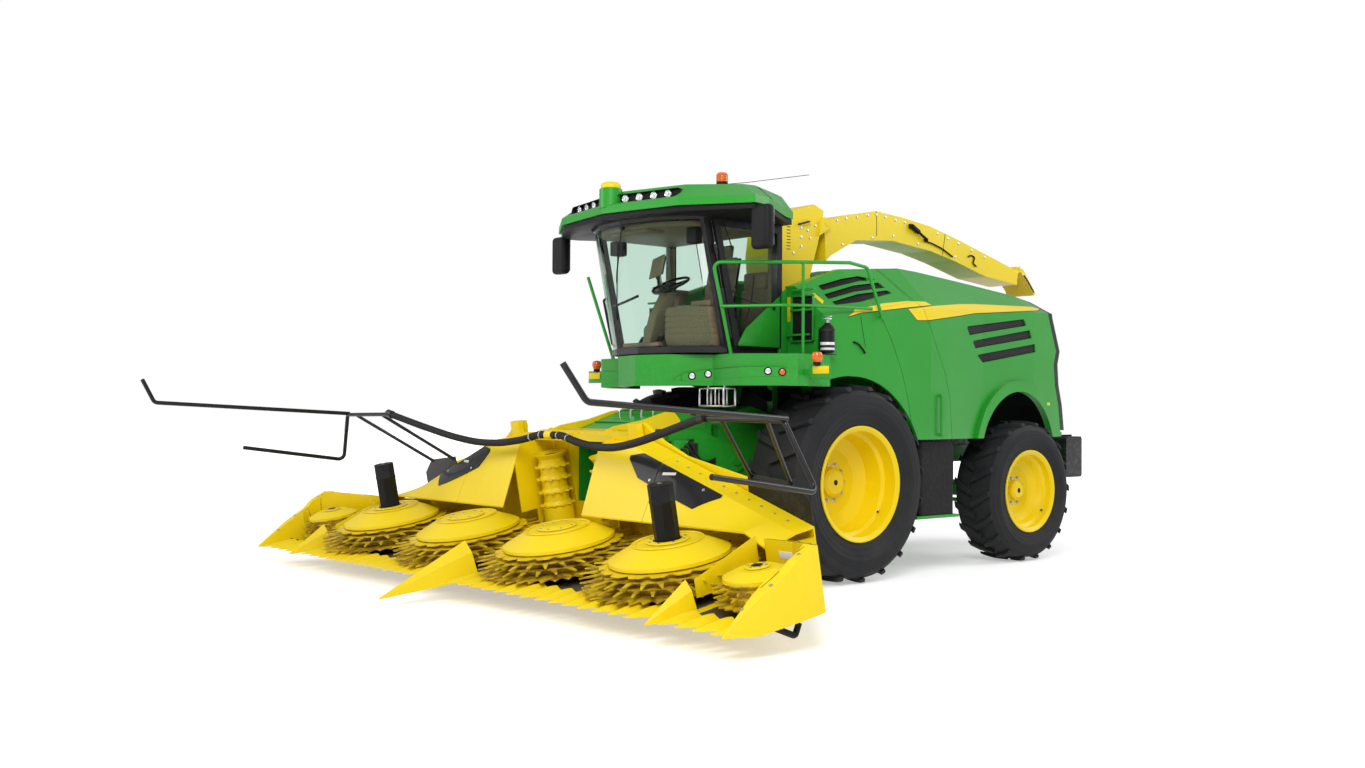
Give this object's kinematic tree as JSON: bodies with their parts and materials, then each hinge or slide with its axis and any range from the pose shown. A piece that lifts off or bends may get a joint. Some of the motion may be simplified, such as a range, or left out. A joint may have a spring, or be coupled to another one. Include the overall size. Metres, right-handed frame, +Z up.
{
  "type": "forage harvester",
  "caption": "Self-propelled forage harvester with cab, slewing spout, steered rear axle and a folding rotary maize header on a lifting feeder",
  "frame": {"origin": "on the ground, on the centreline, midway along the machine's overall length", "axes": "+X to the machine's left, -Y forward, +Z up"},
  "size_m": [7.6616, 10.455, 3.975],
  "materials": {
    "green_paint": "glossy paint",
    "yellow_paint": "glossy paint",
    "black_paint": "satin paint",
    "tyre_rubber": "matte",
    "hose_rubber": "satin ribbed",
    "cab_glass": "clear, faint green",
    "black_plastic": "grained",
    "tan_trim": "grained",
    "seat_cloth": "woven",
    "lamp_lens": "clear lens",
    "cast_metal": "as cast",
    "steel": "ground rod"
  },
  "bodies": {
    "chassis": {"main_frame": "green_paint", "front_axle": "green_paint", "rear_axle": "green_paint", "engine_block": "cast_metal", "rear_hitch": "black_paint", "side_tanks": "black_plastic", "hood_top": "green_paint", "front_panels": "green_paint", "mid_panels": "green_paint", "rear_cover": "black_paint", "platform": "black_paint", "fascia": "green_paint", "cab_frame": "green_paint", "cab_glass": "cab_glass", "cab_roof": "green_paint", "driver_seat": "seat_cloth", "console": "tan_trim", "mirrors": "black_plastic", "handrails": "green_paint", "lamps": "lamp_lens", "chopper_housing": "green_paint", "crop_duct": "yellow_paint"},
    "front_wheel_left": {"front_tyre_left": "tyre_rubber", "front_rim_left": "yellow_paint"},
    "front_wheel_right": {"front_tyre_right": "tyre_rubber", "front_rim_right": "yellow_paint"},
    "knuckle_left": {"knuckle_left": "green_paint"},
    "knuckle_right": {"knuckle_right": "green_paint"},
    "tie_rod": {"tie_rod": "green_paint"},
    "rear_wheel_left": {"rear_tyre_left": "tyre_rubber", "rear_rim_left": "yellow_paint"},
    "rear_wheel_right": {"rear_tyre_right": "tyre_rubber", "rear_rim_right": "yellow_paint"},
    "cab_door": {"cab_door": "green_paint", "door_glass": "cab_glass"},
    "side_door_left": {"rear_panel_left": "green_paint"},
    "side_door_right": {"rear_panel_right": "green_paint"},
    "turret": {"spout_turret": "yellow_paint"},
    "spout": {"spout": "yellow_paint"},
    "flap": {"spout_flap": "yellow_paint"},
    "feeder": {"feeder_housing": "green_paint", "header_frame": "yellow_paint", "ridge_covers": "black_paint", "hose_left": "hose_rubber", "hose_right": "hose_rubber"},
    "lift_barrels": {"lift_barrels": "black_paint"},
    "lift_rods": {"lift_rods": "steel"},
    "wing_left": {"wing_left": "yellow_paint", "guide_bar_left": "black_paint"},
    "wing_right": {"wing_right": "yellow_paint", "guide_bar_right": "black_paint"},
    "rotor_inner_left": {"rotor_inner_left": "yellow_paint"},
    "rotor_outer_left": {"rotor_outer_left": "yellow_paint"},
    "rotor_small_left": {"rotor_small_left": "yellow_paint"},
    "feed_drum_left": {"feed_drum_left": "yellow_paint"},
    "rotor_inner_right": {"rotor_inner_right": "yellow_paint"},
    "rotor_outer_right": {"rotor_outer_right": "yellow_paint"},
    "rotor_small_right": {"rotor_small_right": "yellow_paint"},
    "feed_drum_right": {"feed_drum_right": "yellow_paint"}
  },
  "joints": [
    {"name": "front_wheel_left_spin", "type": "hinge", "parent": "chassis", "child": "front_wheel_left", "pos_m": [1.178, -0.04248, 0.9785], "axis": [1, 0, 0], "continuous": true},
    {"name": "steer_left", "type": "hinge", "parent": "chassis", "child": "knuckle_left", "pos_m": [0.79, 3.00452, 0.798], "axis": [0, 0, 1], "range_deg": [-30, 30]},
    {"name": "rear_wheel_left_spin", "type": "hinge", "parent": "knuckle_left", "child": "rear_wheel_left", "pos_m": [1.085, 3.00452, 0.798], "axis": [1, 0, 0], "continuous": true},
    {"name": "front_wheel_right_spin", "type": "hinge", "parent": "chassis", "child": "front_wheel_right", "pos_m": [-1.178, -0.04248, 0.9785], "axis": [1, 0, 0], "continuous": true},
    {"name": "steer_right", "type": "hinge", "parent": "chassis", "child": "knuckle_right", "pos_m": [-0.79, 3.00452, 0.798], "axis": [0, 0, 1], "range_deg": [-30, 30]},
    {"name": "rear_wheel_right_spin", "type": "hinge", "parent": "knuckle_right", "child": "rear_wheel_right", "pos_m": [-1.085, 3.00452, 0.798], "axis": [1, 0, 0], "continuous": true},
    {"name": "tie_rod_pivot", "type": "hinge", "parent": "knuckle_left", "child": "tie_rod", "pos_m": [0.79, 3.27452, 0.6264], "axis": [0, 0, 1], "range_deg": [-30, 30]},
    {"name": "cab_door_hinge", "type": "hinge", "parent": "chassis", "child": "cab_door", "pos_m": [0.875, -1.35598, 2.91], "axis": [0, 0.2235, -0.9747], "range_deg": [0, 35]},
    {"name": "side_door_left_hinge", "type": "hinge", "parent": "chassis", "child": "side_door_left", "pos_m": [0.866, 2.23252, 3.158], "axis": [0.0155, -0.9966, 0.0806], "range_deg": [0, 80]},
    {"name": "side_door_right_hinge", "type": "hinge", "parent": "chassis", "child": "side_door_right", "pos_m": [-0.866, 2.23252, 3.158], "axis": [0.0155, 0.9966, -0.0806], "range_deg": [0, 80]},
    {"name": "spout_slew", "type": "hinge", "parent": "chassis", "child": "turret", "pos_m": [0, 0.30752, 2.7], "axis": [0, 0, 1], "range_deg": [-105, 105]},
    {"name": "spout_lift", "type": "hinge", "parent": "turret", "child": "spout", "pos_m": [0, 0.75752, 3.74], "axis": [1, 0, 0], "range_deg": [0, 30]},
    {"name": "flap_tilt", "type": "hinge", "parent": "spout", "child": "flap", "pos_m": [0, 4.34752, 3.52], "axis": [1, 0, 0], "range_deg": [-10, 55]},
    {"name": "feeder_lift", "type": "hinge", "parent": "chassis", "child": "feeder", "pos_m": [0, -0.74248, 1.2], "axis": [-1, 0, 0], "range_deg": [0, 15]},
    {"name": "lift_barrel_pivot", "type": "hinge", "parent": "chassis", "child": "lift_barrels", "pos_m": [0, -0.46248, 0.6], "axis": [-1, 0, 0], "range_deg": [0, 12]},
    {"name": "lift_rod_slide", "type": "slide", "parent": "lift_barrels", "child": "lift_rods", "axis": [0, -0.9995, 0.0312], "range_m": [0, 0.15]},
    {"name": "wing_fold_left", "type": "hinge", "parent": "feeder", "child": "wing_left", "pos_m": [0.95, -2.3922, 1.52504], "axis": [0, -0.9826, -0.1857], "range_deg": [0, 85], "deforming": ["hose_left"]},
    {"name": "rotor_inner_left_spin", "type": "hinge", "parent": "feeder", "child": "rotor_inner_left", "pos_m": [0.75, -3.11535, 0.47248], "axis": [0, -0.1857, 0.9826], "continuous": true},
    {"name": "rotor_outer_left_spin", "type": "hinge", "parent": "wing_left", "child": "rotor_outer_left", "pos_m": [2.25, -3.11535, 0.47248], "axis": [0, -0.1857, 0.9826], "continuous": true},
    {"name": "rotor_small_left_spin", "type": "hinge", "parent": "wing_left", "child": "rotor_small_left", "pos_m": [3.375, -3.23326, 0.4502], "axis": [0, -0.1857, 0.9826], "continuous": true},
    {"name": "feed_drum_left_spin", "type": "hinge", "parent": "feeder", "child": "feed_drum_left", "pos_m": [0.449, -2.27423, 0.63141], "axis": [0, -0.1857, 0.9826], "continuous": true},
    {"name": "wing_fold_right", "type": "hinge", "parent": "feeder", "child": "wing_right", "pos_m": [-0.95, -2.3922, 1.52504], "axis": [0, 0.9826, 0.1857], "range_deg": [0, 85], "deforming": ["hose_right"]},
    {"name": "rotor_inner_right_spin", "type": "hinge", "parent": "feeder", "child": "rotor_inner_right", "pos_m": [-0.75, -3.11535, 0.47248], "axis": [0, -0.1857, 0.9826], "continuous": true},
    {"name": "rotor_outer_right_spin", "type": "hinge", "parent": "wing_right", "child": "rotor_outer_right", "pos_m": [-2.25, -3.11535, 0.47248], "axis": [0, -0.1857, 0.9826], "continuous": true},
    {"name": "rotor_small_right_spin", "type": "hinge", "parent": "wing_right", "child": "rotor_small_right", "pos_m": [-3.375, -3.23326, 0.4502], "axis": [0, -0.1857, 0.9826], "continuous": true},
    {"name": "feed_drum_right_spin", "type": "hinge", "parent": "feeder", "child": "feed_drum_right", "pos_m": [-0.449, -2.27423, 0.63141], "axis": [0, -0.1857, 0.9826], "continuous": true}
  ],
  "couplings": [
    {"joint": "steer_right", "follows": "steer_left", "ratio": 1},
    {"joint": "tie_rod_pivot", "follows": "steer_left", "ratio": -1},
    {"joint": "lift_barrel_pivot", "follows": "feeder_lift", "ratio": 0.73933},
    {"joint": "lift_rod_slide", "follows": "feeder_lift", "m_per_rad": 0.55806}
  ]
}
